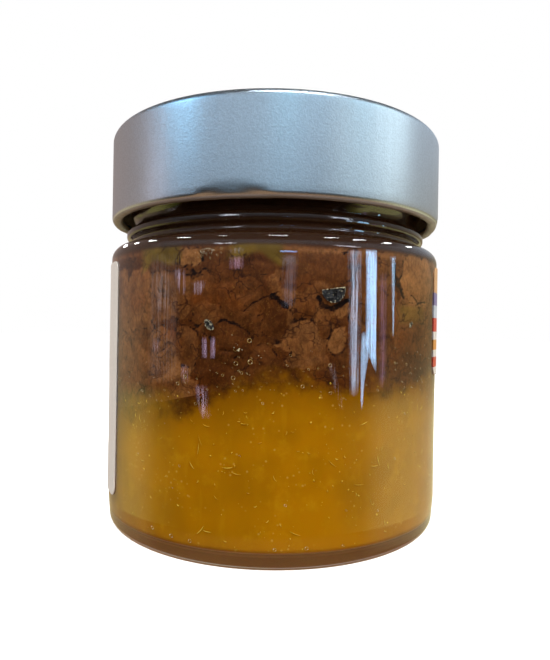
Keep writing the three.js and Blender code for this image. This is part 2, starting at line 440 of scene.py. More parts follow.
def amber_tone(n, colours):
    """Amber jelly colour: soft depths, painted shade just under the fruit, pale threads and small flecks."""
    amber = Vector(colours.amber)
    pale = (amber.x * 1.25, amber.y * 1.5, amber.z * 8)
    depth = n.range(n.noise(90, 2.0, 0.55), 0.3, 0.7)
    tone = n.mix(depth, tuple(amber * 0.8), tuple(amber * 1.04))
    haze = n.range(n.noise(300, 4.0, 0.65), 0.52, 0.74, 0.0, 0.4)
    tone = n.mix(haze, tone, pale)
    streaks = n.range(n.noise(1.0, 3.0, 0.6, n.stretched(500, 500, 90)), 0.55, 0.75, 0.0, 0.25)
    tone = n.mix(streaks, tone, pale)
    # Painted shade: the amber darkens just under the fruit
    under = n.range(n.attribute("rise"), -7.0, -0.5, 0.0, 0.75)
    tone = n.mix(under, tone, (amber.x * 0.5, amber.y * 0.45, amber.z))
    flecks = n.range(n.cells(900), 0.25, 0.08)
    few = n.range(n.noise(200, 1.0), 0.52, 0.6)
    return n.mix(n.times(flecks, n.times(few, 0.35)), tone, (0.62, 0.40, 0.08))


def fruit_tone(n, colours):
    """Stewed fruit colour: each piece its own brown, with grain, specks and jelly, a painted highlight along
    the top rim, and painted shade in cracks, crumbs and creases and above the shoulder.
    """
    dark, brown, tan = (Vector(c) for c in (colours.dark, colours.brown, colours.tan))
    light_brown = (brown.x * 1.55, brown.y * 1.9, brown.z * 2.4)
    piece_tone = n.math("ADD", n.attribute("tone"), n.swing(n.noise(210, 4.0, 0.6), 0.35), clamp=True)
    tone = n.tones(piece_tone, (0.0, dark), (1.0, tan), (0.33, brown * 0.8), (0.62, light_brown))
    red = n.range(n.noise(110, 3.0, 0.6), 0.5, 0.7, 0.0, 0.5)
    tone = n.mix(red, tone, (brown.x, brown.y * 0.72, brown.z * 0.3))
    clouds = n.range(n.noise(380, 6.0, 0.7), 0.36, 0.56, 0.72, 1.1)
    grain = n.noise(1.0, 5.0, 0.75, n.stretched(1900, 1900, 1200), 0.3)
    grain = n.range(grain, 0.38, 0.64, 0.78, 1.26)
    tone = n.mix(1.0, tone, n.times(clouds, grain), "MULTIPLY")
    specks = n.range(n.noise(2100, 4.0, 0.75), 0.56, 0.7, 0.0, 0.42)
    tone = n.mix(specks, tone, (tan.x, tan.y, tan.z * 0.6))
    thick = n.range(n.noise(240, 3.0), 0.35, 0.65)
    jelly = n.mix(thick, dimmed(colours.olive, 0.6), tuple(colours.olive))
    tone = n.mix(n.attribute("jelly"), tone, jelly)
    # Painted shade in the cracks between the pieces
    ragged = n.math("ADD", n.attribute("edge"), n.swing(n.noise(1500, 3.0, 0.6), 0.3))
    gap = n.range(ragged, 0.0, 0.16, 1.0, 0.0)
    tone = n.mix(n.times(gap, n.attribute("open")), tone, (0.005, 0.0025, 0.002))
    # Painted shade in the small gaps between crumbs and in creases
    crumbs = n.range(n.cells(430, "DISTANCE_TO_EDGE"), 0.0, 0.045, 1.0, 0.0)
    crumbly = n.range(n.noise(115, 2.0, 0.6), 0.52, 0.62, 0.0, 0.5)
    tone = n.mix(n.times(crumbs, crumbly), tone, (0.012, 0.004, 0.002))
    creases = n.cells(290, "DISTANCE_TO_EDGE", n.warped(420, 5 * MM))
    creases = n.range(creases, 0.005, 0.055, 1.0, 0.0)
    creased = n.range(n.noise(140, 2.0, 0.6), 0.44, 0.56, 0.0, 0.85)
    creased = n.times(creased, n.range(n.attribute("tone"), 0.5, 0.64, 1.0, 0.25))
    tone = n.mix(n.times(creases, creased), tone, (0.02, 0.007, 0.003))
    # Painted shade above the shoulder, where the lid keeps light off the contents in the neck
    return n.mix(n.attribute("deep"), tone, (0.030, 0.012, 0.005))


def contents_tone(n, colours):
    """Amber below and brown above, fading into each other over a few millimetres."""
    ragged = n.swing(n.noise(170, 5.0, 0.62), 13.0)
    above = n.range(n.math("ADD", n.attribute("rise"), ragged), -2.6, 2.2)
    return n.mix(above, amber_tone(n, colours), fruit_tone(n, colours))


def amber_jelly(colours):
    """The marmalade, its bottom face painted a light brown where the thick glass floor shows it: a painted
    reflection of a brown tabletop seen through the glass.
    """
    n = Nodes("amber marmalade")
    # Painted reflection: a light brown tone stands for a brown tabletop seen through the thick glass floor
    painted_sole_reflection = n.mix(n.noise(150, 2.0), (0.42, 0.28, 0.15), (0.33, 0.21, 0.11))
    tone = n.mix(n.attribute("painted_sole_reflection"), contents_tone(n, colours), painted_sole_reflection)
    return n.surface(
        Base_Color=tone, Roughness=0.45, Specular_IOR_Level=0.02, Subsurface_Weight=0.35,
        Subsurface_Radius=(4.0 * MM, 1.6 * MM, 0.3 * MM), Subsurface_Scale=1.0,
    )


def brown_fruit(colours):
    """The stewed fruit, with fine fibres that stand up from its skin."""
    n = Nodes("brown fruit")
    fibres = n.bump(n.noise(1.0, 4.0, 0.7, n.stretched(1500, 1500, 1000), 0.3), 0.5, 0.12 * MM)
    return n.surface(
        Base_Color=contents_tone(n, colours), Roughness=0.5, Specular_IOR_Level=0.04, Normal=fibres,
        Subsurface_Weight=0.12, Subsurface_Radius=(1.5 * MM, 0.6 * MM, 0.3 * MM), Subsurface_Scale=1.0,
    )


def plain_paper(colours):
    """Uncoated paper with a fibre grain."""
    n = Nodes("label paper")
    fibre = n.noise(1800, 4.0, 0.65)
    tone = n.mix(n.range(fibre, 0.35, 0.7), tuple(colours.paper), dimmed(colours.paper, 0.93))
    return n.surface(Base_Color=tone, Roughness=0.72, Normal=n.bump(fibre, 0.2, 0.03 * MM))


WHITE, RED = (0.75, 0.72, 0.68), (0.62, 0.06, 0.03)

# Lower edge of each printed band in millimetres, and its colour
BANDS = (
    (47.5, (0.62, 0.36, 0.17)), (45.0, (0.20, 0.17, 0.36)), (42.5, (0.55, 0.62, 0.70)), (39.8, RED),
    (38.2, WHITE), (36.2, (0.70, 0.30, 0.05)), (34.8, WHITE), (32.8, (0.60, 0.07, 0.03)),
)


def printed_paper(colours):
    """Plain bands of colour from the label's top edge down."""
    n = Nodes("printed paper")
    height = n.add("ShaderNodeSeparateXYZ")
    n.put(height.inputs[0], n.spot)
    tone = WHITE
    for low, band in reversed(BANDS):
        tone = n.mix(n.math("GREATER_THAN", height.outputs["Z"], low * MM), tone, band)
    dots = n.range(n.noise(2500, 1.0), 0.4, 0.6, 0.0, 0.08)
    tone = n.mix(dots, tone, tuple(colours.paper))
    return n.surface(Base_Color=tone, Roughness=0.5, Normal=n.bump(n.noise(1800), 0.1, 0.02 * MM))


# Painted shade: a flat dark disc stands for the shaded hollow of an air pocket
def air_pocket():
    n = Nodes("air pocket")
    tone = n.mix(n.range(n.noise(900, 3.0), 0.4, 0.65), (0.006, 0.005, 0.005), (0.03, 0.032, 0.036))
    return n.surface(Base_Color=tone, Roughness=n.range(n.noise(1500), 0.3, 0.7, 0.1, 0.4))


def two_tone(name, scale, low, high, dark, light, rough, gloss):
    """A small part's finish: cloudy, from one tone to another."""
    n = Nodes(name)
    tone = n.mix(n.range(n.noise(scale), low, high), dark, light)
    return n.surface(Base_Color=tone, Roughness=rough, Specular_IOR_Level=gloss)


# Partly painted highlight: the rings are the bubbles' real outlines, their pale tan a painted highlight edge
def bubble_rim_highlight():
    return two_tone("bubble skin", 300, 0.4, 0.6, (0.20, 0.105, 0.02), (0.42, 0.28, 0.08), 0.3, 0.2)


# Painted highlight: pale beads stand for the glints of small air bubbles
def glint_bead():
    return two_tone("bead of air", 1200, 0.4, 0.6, (0.34, 0.31, 0.22), (0.88, 0.80, 0.52), 0.3, 0.2)


def pale_fibre():
    return two_tone("pale fibre", 500, 0.35, 0.65, (0.46, 0.25, 0.01), (0.60, 0.40, 0.04), 0.5, 0.1)


# The jar's shapes, in millimetres and in degrees from the front towards +X

FLOOR = 2.8  # thickness of the glass floor
NECK, BORE = 30.8, 28.4  # outer and inner radius of the neck
SHOULDER, FILLET = 55.7, 2.7  # height of the shoulder's outer corner and its rounding
BEAD, BEAD_LOW, BEAD_HIGH = 32.1, 58.0, 59.4  # radius and heights of the ring round the neck
BOUNDARY = 28.0  # mean height of the boundary between marmalade and fruit
STILL = 20.0  # height below which the marmalade's side doesn't follow the boundary
BOUNDARY_AT_GLASS = (31.0, 29.2, 29.6, 30.0, 27.0, 25.5, 28.0, 30.5, 29.0, 26.5, 25.0, 24.0, 23.8, 25.2, 28.2)


def inner_shoulder(wall, bore, sink=0):
    """The two corners of the glass's inner shoulder, or of the contents that sink into it."""
    return [(wall, 54.3 + sink, 2.6), (bore, 56.9 + sink, 3.0)]


def glass_corners(size):
    """The glass outline from the middle of the foot, up outside, over the mouth and down inside."""
    radius, mouth = size.body_radius / MM, size.mouth / MM
    wall = radius - size.wall / MM
    foot = [(0, 0.9, 0), (20, 0.75, 4), (25.5, 0.6, 1.5), (27, 0, 1.0), (radius - 0.5, 0, 2.1)]
    side = [(radius, 6, 9), (radius, SHOULDER, FILLET), (NECK, 56.6, 0.5), (NECK, 57.6, 0.4)]
    neck = [(BEAD, BEAD_LOW, 0.7), (BEAD, BEAD_HIGH, 0.7), (NECK, 59.9, 0.5), (NECK, mouth, 1.0)]
    inside = [(BORE, mouth, 1.0), *reversed(inner_shoulder(wall, BORE)), (wall, FLOOR, 1.0), (0, FLOOR, 0)]
    return foot + side + neck + inside


def add_threads(radius, angle, height):
    """Four sloping threads raised on the neck, running out at both ends."""
    raised = np.zeros_like(radius)
    first, spread, low, rise, half, proud = 18, 78, 62.0, 3.4, 1.3, 1.2
    for start in range(4):
        share = (between(first + 90 * start, angle) % 360) / spread
        off = (height - low - share * rise) / half
        fade = ramp(np.minimum(share, 1 - share), 0.0, 0.12)
        raised = np.maximum(raised, proud * fade * np.clip(1 - off**2, 0, 1) ** 0.7)
    outer = (np.abs(radius - NECK) < 0.6) & (height > 60) & (height < 76)
    return radius + np.where(outer, raised, 0)


def contents_reach(size):
    """Radius of the contents' side, a little inside the glass wall."""
    return (size.body_radius - size.wall + size.sink) / MM


def contents_side(size, height):
    """Radius of the contents' side at a height, with its round foot."""
    floor, fillet = FLOOR - size.sink / MM, 1.0
    below = np.clip(floor + fillet - height, 0, fillet)
    return contents_reach(size) - fillet + np.sqrt(fillet**2 - below**2)


def boundary_height(radius, angle, reach):
    """Height of the boundary between marmalade and fruit, as in the CAD solids."""
    count = len(BOUNDARY_AT_GLASS)
    place = (angle % 360) / 360 * count
    step = np.floor(place).astype(int)
    a, b, c, d = (np.array(BOUNDARY_AT_GLASS)[(step + k) % count] for k in (-1, 0, 1, 2))
    t = place - step
    curve = b + 0.5 * t * (c - a + t * (2 * a - 5 * b + 4 * c - d + t * (3 * (b - c) + d - a)))
    return BOUNDARY + (curve - BOUNDARY) * (radius / reach) ** 2


def sag(angle):
    """How much lower the brown tone hangs than the boundary: more left of the front, less right of it."""
    return 1.1 * np.exp(-(((angle + 22) / 13) ** 2)) - 0.8 * np.exp(-(((angle - 12) / 8) ** 2))


class JarOperator(bpy.types.Operator):
    """Gives each operator the sizes and colours."""

    bl_options = {"REGISTER", "UNDO"}

    @property
    def sizes(self):
        return bpy.context.scene.jar_sizes

    @property
    def colours(self):
        return bpy.context.scene.jar_colours


class JAR_OT_glass(JarOperator):
    """Adds the clear glass jar with its foot, shoulder, neck bead and threads"""

    bl_idname = "jar.glass"
    bl_label = "Glass jar"

    def execute(self, context):
        outline = dense(rounded(glass_corners(self.sizes)), step=1.2)
        glass = turned("glass", outline, self.sizes.around)
        radius, angle, height = places(glass)
        put_back(glass, add_threads(radius, angle, height), angle, height)
        finished(glass, "glass_jar", "clear_glass", clear_glass(self.colours))
        return {"FINISHED"}


class JAR_OT_lid(JarOperator):
    """Adds the deep metal lid with its sunk top, button, rolled edge and pressed lugs"""

    bl_idname = "jar.lid"
    bl_label = "Lid"

    def execute(self, context):
        size = self.sizes
        outer, low, top = size.lid_radius / MM, size.lid_bottom / MM, size.lid_top / MM
        thick, curl, sunk, button = 0.8, 1.0, 0.7, 0.35
        inner, panel = outer - thick, top - sunk
        curled, curl_step = -264, -12
        roll = [
            Vector((outer - curl + curl * math.cos(a), low + curl + curl * math.sin(a)))
            for a in (math.radians(k) for k in range(0, curled + curl_step, curl_step))
        ]
        upper = rounded(
            [
                (0, panel + button, 0), (11, panel + button, 1.5), (12.4, panel, 1.5), (30.1, panel, 0.8),
                (31.6, top, 0.9), (outer, top, 1.45), (outer, low + curl, 0),
            ]
        )
        under = rounded(
            [
                (inner, low + 2 * curl, 0), (inner, top - thick, 1.0), (31.0, top - thick, 0.3),
                (30.1, panel - thick, 0.3), (0, panel - thick, 0),
            ]
        )
        lid = turned("lid_metal", dense(upper + roll[1:] + under, step=1.2), size.around)
        radius, angle, height = places(lid)
        lug_angle, lug_half, lug_tall, lug_deep, skirt = -11.8, 13.0, 1.3, 0.26, 32
        away = np.abs(between(lug_angle, angle)) % 90
        off = np.minimum(away, 90 - away) / lug_half
        far = np.hypot(off, np.maximum(height - low - 0.1, 0) / lug_tall)
        press = lug_deep * ramp(1 - far, 0.0, 0.35)
        put_back(lid, np.where(radius > skirt, radius - press, radius), angle, height)
        coats = lid_metal(self.colours), lid_lacquer(self.colours), pale_varnish()
        finished(lid, "lid", "lid_lacquer", *coats)
        for face in lid.data.polygons:
            middle = face.center / MM
            side = math.hypot(middle.x, middle.y)
            inside = side < inner + 0.2 and middle.z < top - 0.6 and face.normal.z <= 0.3
            rolled = middle.z < low + 0.35
            face.material_index = 1 if rolled else 2 * int(inside)
        return {"FINISHED"}


class JAR_OT_marmalade(JarOperator):
    """Adds the amber marmalade up to its wavy boundary with the fruit"""

    bl_idname = "jar.marmalade"
    bl_label = "Marmalade"

    def execute(self, context):
        reach, floor = contents_reach(self.sizes), FLOOR - self.sizes.sink / MM
        corners = [(0, floor, 0), (reach, floor, 1.0), (reach, BOUNDARY, 0), (0, BOUNDARY, 0)]
        amber = turned("amber_marmalade", dense(rounded(corners), step=0.7), steps=360)
        radius, angle, height = places(amber)
        lift = np.clip(height - STILL, 0, None) / (BOUNDARY - STILL)
        edge = boundary_height(radius, angle, reach)
        height = height + lift * (edge - BOUNDARY)
        put_back(amber, radius, angle, height)
        paint(amber, "rise", height - edge + sag(angle))
        # Where the painted tabletop reflection goes: the bottom face of the marmalade
        paint(amber, "painted_sole_reflection", 1 - ramp(height, floor + 0.1, floor + 0.5))
        finished(amber, "marmalade", "amber_marmalade", amber_jelly(self.colours))
        return {"FINISHED"}


# Pieces pressed on the glass in front: angle, height, half width along the wall, half height,
# tilt, squareness and tone from dark to tan
PATCHES = (
    (-62, 45, 5.5, 6.0, 0, 4, 0.68), (-46, 44.5, 4.0, 5.5, 0, 4, 0.66), (-58, 34, 5.0, 4.5, 8, 3, 0.52),
    (-35, 45.5, 2.6, 4.5, 4, 4, 0.46), (-35, 36.5, 2.9, 3.6, 12, 3, 0.52),
    (-27.5, 45.5, 2.1, 4.0, -4, 4, 0.44), (-25.5, 36.5, 2.2, 3.8, -6, 3, 0.38),
    (-20.5, 47, 1.7, 2.4, 0, 3, 0.38), (-19, 42.5, 1.5, 1.8, 20, 2.5, 0.44),
    (-25.3, 51.7, 2.4, 1.15, 6, 4, 0.98), (-10.2, 44.7, 3.4, 4.0, 6, 3, 0.32),
    (-12.5, 36.8, 3.3, 3.8, 0, 2.5, 0.14), (-8.1, 46.6, 1.1, 1.2, 0, 2, 0.27),
    (-4.5, 49.4, 2.6, 1.2, -4, 3, 0.24), (0.6, 41.2, 2.0, 3.3, -6, 2.5, 0.15),
    (-3.2, 35.0, 2.2, 2.0, 15, 3, 0.22), (14.7, 50.2, 4.3, 2.7, -3, 4, 0.37),
    (5.5, 47.6, 1.7, 2.2, 10, 2.5, 0.30), (9.0, 43.4, 1.7, 2.0, 15, 2.5, 0.36),
    (20.2, 43.0, 1.15, 1.05, 0, 2, 0.62), (18.6, 38.0, 1.4, 2.3, -8, 3, 0.60),
    (8.6, 37.2, 2.7, 4.2, 0, 4, 0.50), (14.2, 40.0, 1.2, 1.6, 20, 2, 0.34),
    (14.0, 34.4, 1.6, 1.5, -10, 2.5, 0.40), (22.5, 34.5, 1.9, 2.4, 10, 3, 0.30),
    (27, 46, 2.4, 4.8, 0, 4, 0.36), (27.5, 36.5, 2.2, 3.4, 5, 3, 0.28), (34, 50.5, 1.8, 2.4, 0, 3, 0.42),
    (35.5, 43, 2.3, 3.8, -5, 3, 0.34), (36, 34.5, 2.6, 3.6, 4, 3, 0.30),
    # The thin darkest patch at 41 degrees is a painted shadow beside the tan piece at 53 degrees
    (53, 49.3, 5.9, 4.7, -10, 2.7, 0.96), (41.0, 47.6, 0.8, 2.8, 8, 2, 0.0),
    (52.5, 37.6, 6.0, 3.4, 0, 4, 0.33), (66, 40, 4.5, 5.0, 0, 3, 0.42),
)

# Dark gaps between pieces, their darkness painted shade: half width in millimetres, then angles and heights
# along the gap
CRACKS = (
    (0.05, (-16.3, 40.4), (-13.5, 40.9), (-11, 40.5), (-8, 39.6), (-6, 38.2)),
    (0.07, (-8.7, 42.5), (-5.5, 43.9), (-2.0, 45.0), (1.7, 45.6)),
    (0.32, (-0.5, 45.0), (1.7, 44.5), (4.2, 43.4)),
    (0.38, (12.6, 45.2), (14.0, 43.9), (17.0, 43.4), (21.5, 44.6)),
    (0.06, (4.2, 43.4), (6.5, 41.6), (8.5, 41.2)), (0.05, (-40.2, 40.9), (-37.8, 40.0), (-36.8, 39.2)),
    (0.04, (-35.5, 40.6), (-33.0, 39.4)), (0.05, (-37.7, 35.0), (-35.5, 35.5), (-32.0, 36.3)),
    (0.05, (-25.0, 41.1), (-22.6, 40.4), (-21.0, 40.5)), (0.22, (-24.0, 49.6), (-23.6, 49.0)),
    (0.04, (-24.5, 51.0), (-23.9, 49.5), (-20.5, 48.5)), (0.05, (-27.2, 50.3), (-25.5, 49.7)),
    (0.17, (43.0, 40.5), (44.5, 40.0)), (0.04, (-14.7, 36.3), (-11.2, 36.1)),
    (0.06, (-11.5, 35.0), (-10.0, 35.4), (-8.7, 34.9)), (0.30, (39.5, 51.5), (40.5, 48.0), (44.0, 45.6)),
    (0.12, (48.0, 46.2), (53.0, 44.9), (58.0, 45.4)), (0.04, (-29.0, 41.8), (-29.5, 38.5), (-28.0, 36.0)),
    (0.05, (14.8, 42.2), (16.8, 40.8), (15.6, 37.0), (18.2, 35.2)),
    (0.04, (22.6, 49.5), (23.2, 45.5), (22.2, 41.0)), (0.04, (-6.5, 33.0), (-7.2, 36.2)),
    (0.05, (5.0, 35.5), (3.8, 38.5)),
)


def fruit_cells():
    """Angle, height, size and tone of the pieces behind the listed ones, evenly uneven all round."""
    cells = []
    dice = np.random.default_rng(12)
    for row, height in enumerate((31.0, 37.5, 44.0, 50.5)):
        for angle in range(0, 360, 15):
            turn, lift, size, tone = dice.random(4)
            spot = angle + 7.5 * (row % 2) + 9 * (turn - 0.5), height + 5 * (lift - 0.5)
            cells.append((*spot, 0.7 + 0.7 * size, 0.6 * tone))
    return cells


class JAR_OT_fruit(JarOperator):
    """Adds the bed of stewed fruit, pressed on the glass, with cracks between its pieces, sunk a little and
    painted dark as shade
    """

    bl_idname = "jar.fruit"
    bl_label = "Fruit pieces"

    def execute(self, context):
        size = self.sizes
        sink, top = size.sink / MM, size.fill_top / MM
        reach, neck = contents_reach(size), BORE + sink
        side = rounded([(reach, BOUNDARY, 0), *inner_shoulder(reach, neck, sink), (neck, top, 0)])
        outline = [Vector((0, BOUNDARY))] + dense(side, step=0.34) + [Vector((0, top))]
        bed = turned("fruit_bed", outline, steps=600)
        radius, angle, height = places(bed)
        edge = boundary_height(radius, angle, reach)
        follows, bulge, rim_height = 12, 0.35, 52.9
        lift = 1 - ramp(height, BOUNDARY, BOUNDARY + follows)
        height = height + lift * (edge - BOUNDARY)
        edge_gap, crack_shade, tone = self.pattern(radius, angle, height)
        side_on = ramp(radius, neck - 3, neck - 1) * ramp(height - edge, 0.5, 4.0)
        crack_shade = crack_shade * ramp(height - edge, 1.0, 3.5)
        put_back(bed, radius + bulge * side_on * ramp(edge_gap, 0.0, 1.6), angle, height)
        paint(bed, "edge", edge_gap)
        paint(bed, "open", crack_shade)
        lit_rim = 0.3 * np.exp(-(((height - rim_height) / 0.4) ** 2))
        paint(bed, "tone", np.clip(tone + lit_rim, 0, 1))
        paint(bed, "rise", height - edge + sag(angle))
        paint(bed, "jelly", self.jelly(angle, height))
        # Painted shade above the shoulder, where the lid keeps light off the contents in the neck
        paint(bed, "deep", ramp(height, 53.2, 54.0))
        finished(bed, "fruit_pieces", "brown_fruit", brown_fruit(self.colours))
        return {"FINISHED"}

    def pattern(self, radius, angle, height):
        """For each spot, the way to its piece's edge, how strongly the crack there is painted dark as shade,
        and the piece's tone.
        """
        turn = np.radians(angle)
        spots = np.stack([radius * np.sin(turn), -radius * np.cos(turn), height], axis=1)
        bend = noise_at(spots, 0.2, 1) + 0.7 * noise_at(spots, 0.6, 2)
        lean = noise_at(spots, 0.2, 3) + 0.7 * noise_at(spots, 0.6, 4)
        level, reach = height + lean, contents_reach(self.sizes)

        def across(at):
            return np.radians(between(at, angle)) * reach + bend

        nearest = np.full(len(radius), 99.0)
        second = nearest.copy()
        tone = np.zeros(len(radius))
        for at, middle, size, shade in fruit_cells():
            away = np.hypot(across(at) + bend, level - middle + lean) / size
            closer = away < nearest
            second = np.where(closer, nearest, np.minimum(second, away))
            nearest = np.where(closer, away, nearest)
            tone = np.where(closer, shade, tone)
        edge = (second - nearest) / 2
        outline = np.zeros(len(radius))
        for at, middle, wide, tall, tilt, square, shade in PATCHES:
            c, s = math.cos(math.radians(tilt)), math.sin(math.radians(tilt))
            x, y = across(at), level - middle
            along, upward = np.abs((x * c + y * s) / wide), np.abs((y * c - x * s) / tall)
            share = (along**square + upward**square) ** (1 / square)
            inward = (1 - share) * min(wide, tall)
            tone = np.where(inward > 0, shade, tone)
            # The palest pieces get a dark ring of painted shade round their outline
            if shade > 0.9:
                outline = np.where(np.abs(inward) < 0.4, 1, outline)
            edge = np.where(inward > 0, inward, np.minimum(edge, -inward))
        # Noise that spreads the painted crack shade here and there between the pieces
        crack_shade_noise = noise_at(spots, 0.2, 5) + 0.5 * noise_at(spots, 0.7, 6)
        crack_shade = np.maximum(outline, ramp(crack_shade_noise, -0.1, 0.35))
        for half, *bends in CRACKS:
            for start, end in zip(bends, bends[1:]):
                x, y = across(start[0]) - 0.6 * bend, height - start[1] + 0.4 * lean
                run = Vector((math.radians(end[0] - start[0]) * reach, end[1] - start[1]))
                t = np.clip((x * run.x + y * run.y) / run.length_squared, 0, 1)
                away = np.hypot(x - t * run.x, y - t * run.y) - half
                edge = np.where(away < 0.3, np.minimum(edge, np.maximum(away, 0)), edge)
                crack_shade = np.where(away < 0.3, 1, crack_shade)
        return np.minimum(edge, 3.0), crack_shade, tone

    def jelly(self, angle, height):
        """Where clear olive jelly shows instead of fruit."""
        wave = 0.9 * np.sin(np.radians(angle * 13)) + 0.5 * np.sin(np.radians(angle * 31 + 40))
        left = ramp(angle, -46, -42) * (1 - ramp(angle, -30, -27)) * ramp(height + wave, 49.7, 50.9)
        middle = ramp(angle, -15, -10) * (1 - ramp(angle, 1, 4)) * ramp(height + wave, 50.5, 51.7)
        right = ramp(angle, 40, 44) * (1 - ramp(angle, 54, 60))
        right = right * ramp(height, 40.5, 42) * (1 - ramp(height, 43.8, 45))
        return np.clip(left + middle + 0.5 * right, 0, 1)


# Bubbles that stand out: angle, height and radius
BUBBLES = (
    (-37.5, 4.6, 0.36), (-30, 4.1, 0.42), (-23.5, 3.9, 0.36), (1.5, 3.7, 0.32), (10.5, 3.8, 0.36),
    (21.5, 3.7, 0.3), (-10.3, 34.0, 0.42), (-6.2, 34.3, 0.46), (-3.5, 35.2, 0.36), (-11, 31.6, 0.4),
    (-6.5, 37.8, 0.42), (-10.4, 36.4, 0.5), (-28.5, 30.2, 0.36), (8.6, 30.4, 0.34), (16.6, 33.9, 0.34),
    (24.8, 32.2, 0.3), (-39.5, 27.6, 0.3), (-26, 31.4, 0.34),
)

# Clusters of small bubbles: middle angle and height, the spread of each, and how many
CLUSTERS = (
    (-19, 52.4, 2.4, 0.7, 16), (-8, 34, 9, 3.5, 26), (48, 32.5, 9, 3.2, 34), (-30, 28, 12, 3.0, 18),
    (20, 31, 10, 2.5, 16), (140, 30, 60, 4.0, 60), (-140, 30, 60, 4.0, 60), (0, 16, 50, 7.0, 16),
)


class JAR_OT_bubbles(JarOperator):
    """Adds small ring-shaped air bubbles on the glass, by the boundary and along the heel, with pale rims and
    pale balls beside them as painted highlights
    """

    bl_idname = "jar.bubbles"
    bl_label = "Bubbles"

    def execute(self, context):
        dice = np.random.default_rng(5)
        bubbles = list(BUBBLES)
        for middle, level, spread, tall, count in CLUSTERS:
            turns, lifts, sizes = dice.normal(0, 1, count), dice.normal(0, 1, count), dice.random(count)
            for turn, lift, size in zip(turns, lifts, sizes):
                bubbles.append((middle + spread * turn, level + tall * lift, 0.1 + 0.2 * size**2))
        rings, glints = [], []
        for angle, height, size in bubbles:
            side = contents_side(self.sizes, height)
            rings.append((side + 0.3, angle, height, 0.8 * size, 0.8 * size, 0.4 * size, 0))
            # Two small pale balls beside each ring are painted glints
            for far in (size, -1.1 * size):
                spot = side + 0.4, angle - 0.9 * far, height + 0.4 * far
                glints.append((*spot, 0.2 * size, 0.2 * size, 0.1, 0))
        deselect()
        bpy.ops.mesh.primitive_torus_add(
            major_radius=1.0, minor_radius=0.13, major_segments=18, minor_segments=5, generate_uvs=False
        )
        scattered("bubble_rings", bpy.context.object, rings, "amber_marmalade", bubble_rim_highlight())
        scattered("bubble_glints", ball(), glints, "amber_marmalade", glint_bead())
        return {"FINISHED"}


# Air pockets: angle, height, half width, half height, tilt, number of beads, and their share on the rim
POCKETS = (
    (17.3, 46.4, 2.05, 2.1, 9, 60, 0.4), (-18.4, 40.3, 1.05, 0.62, -48, 46, 0.45),
    (47.5, 41.0, 0.6, 0.4, 40, 22, 0.6), (-19.3, 52.6, 1.25, 0.42, 0, 44, 0.6),
    (-9.0, 36.2, 0.3, 0.25, 0, 8, 0.8),
)

BOWL_TOP = 0.12  # the first pocket is a bowl, cut off level at this share of its half height


class JAR_OT_pockets(JarOperator):
    """Adds the air pockets between fruit and glass as flat dark discs of painted shade, speckled with pale
    beads as painted glints
    """

    bl_idname = "jar.pockets"
    bl_label = "Air pockets"

    def execute(self, context):
        reach = contents_reach(self.sizes) + 0.42
        dice = np.random.default_rng(8)
        beads = []
        for number, (angle, height, wide, tall, tilt, count, rim) in enumerate(POCKETS):
            is_bowl = number == 0
            c, s = math.cos(math.radians(tilt)), math.sin(math.radians(tilt))
            for _ in range(count):
                way = 2 * math.pi * dice.random()
                far = 1 - 0.06 * dice.random() if dice.random() < rim else math.sqrt(dice.random())
                x, y = wide * far * math.cos(way), tall * far * math.sin(way)
                if is_bowl:
                    y = min(y, BOWL_TOP * tall)
                size = 0.045 + 0.06 * dice.random() ** 2
                spot = angle + math.degrees((x * c - y * s) / reach), height + x * s + y * c
                beads.append((reach + 0.08, *spot, size, size, size, 0))
        deselect()
        bowl = disc(40)
        for vertex in bowl.data.vertices:
            vertex.co.y = min(vertex.co.y, BOWL_TOP)
        flat = [(reach, *pocket[:4], 1, pocket[4]) for pocket in POCKETS]
        scattered("air_pocket_bowl", bowl, flat[:1], "brown_fruit", air_pocket())
        scattered("air_pockets", disc(24), flat[1:3], "brown_fruit", air_pocket())
        scattered("air_beads", ball(), beads, "brown_fruit", glint_bead())
        return {"FINISHED"}


class JAR_OT_fibres(JarOperator):
    """Adds pale fibres and flecks of zest in the marmalade by the glass"""

    bl_idname = "jar.fibres"
    bl_label = "Fibres"

    def execute(self, context):
        dice = np.random.default_rng(3)
        deselect()
        bpy.ops.mesh.primitive_cylinder_add(
            vertices=4, radius=1, depth=2, end_fill_type="TRIFAN", rotation=(math.pi / 2, 0, 0)
        )
        fibre = bpy.context.object
        bpy.ops.object.transform_apply(location=False, rotation=True, scale=False)
        edit(fibre)
        for place in (-0.75, -0.4, 0.0, 0.4, 0.75):
            bpy.ops.mesh.select_all(action="SELECT")
            bpy.ops.mesh.bisect(plane_co=(0, place, 0), plane_no=(0, 1, 0))
        bpy.ops.object.mode_set(mode="OBJECT")
        for vertex in fibre.data.vertices:
            y = vertex.co.y
            vertex.co.x = vertex.co.x * (1 - y * y) * 0.9 + 1.8 * y * y
            vertex.co.z *= 1 - y * y
        fibres, flecks, fibre_count, fleck_count = [], [], 190, 520
        for _ in range(fibre_count):
            turn, lift, size, tilt, bend = dice.random(5)
            height = 4.5 + 22 * lift**0.9
            wide, tall = math.copysign(0.05 + 0.06 * bend, tilt - 0.5), 0.3 + 0.9 * size**3
            side = contents_side(self.sizes, height) + 0.05
            fibres.append((side, 360 * turn, height, wide, tall, 0.1, 240 * tilt - 120))
        scattered("zest_fibres", fibre, fibres, "amber_marmalade", pale_fibre())
        for _ in range(fleck_count):
            turn, lift, size, tilt, thin = dice.random(5)
            height, radius = 3.6 + 28 * lift, 0.05 + 0.13 * size**3
            wide, tall = radius * (0.4 + 0.6 * thin), radius * 1.4
            side = contents_side(self.sizes, height) + 0.05
            flecks.append((side, 360 * turn, height, wide, tall, 0.12, 90 * tilt - 45))
        scattered("zest_flecks", ball(), flecks, "amber_marmalade", pale_fibre())
        return {"FINISHED"}


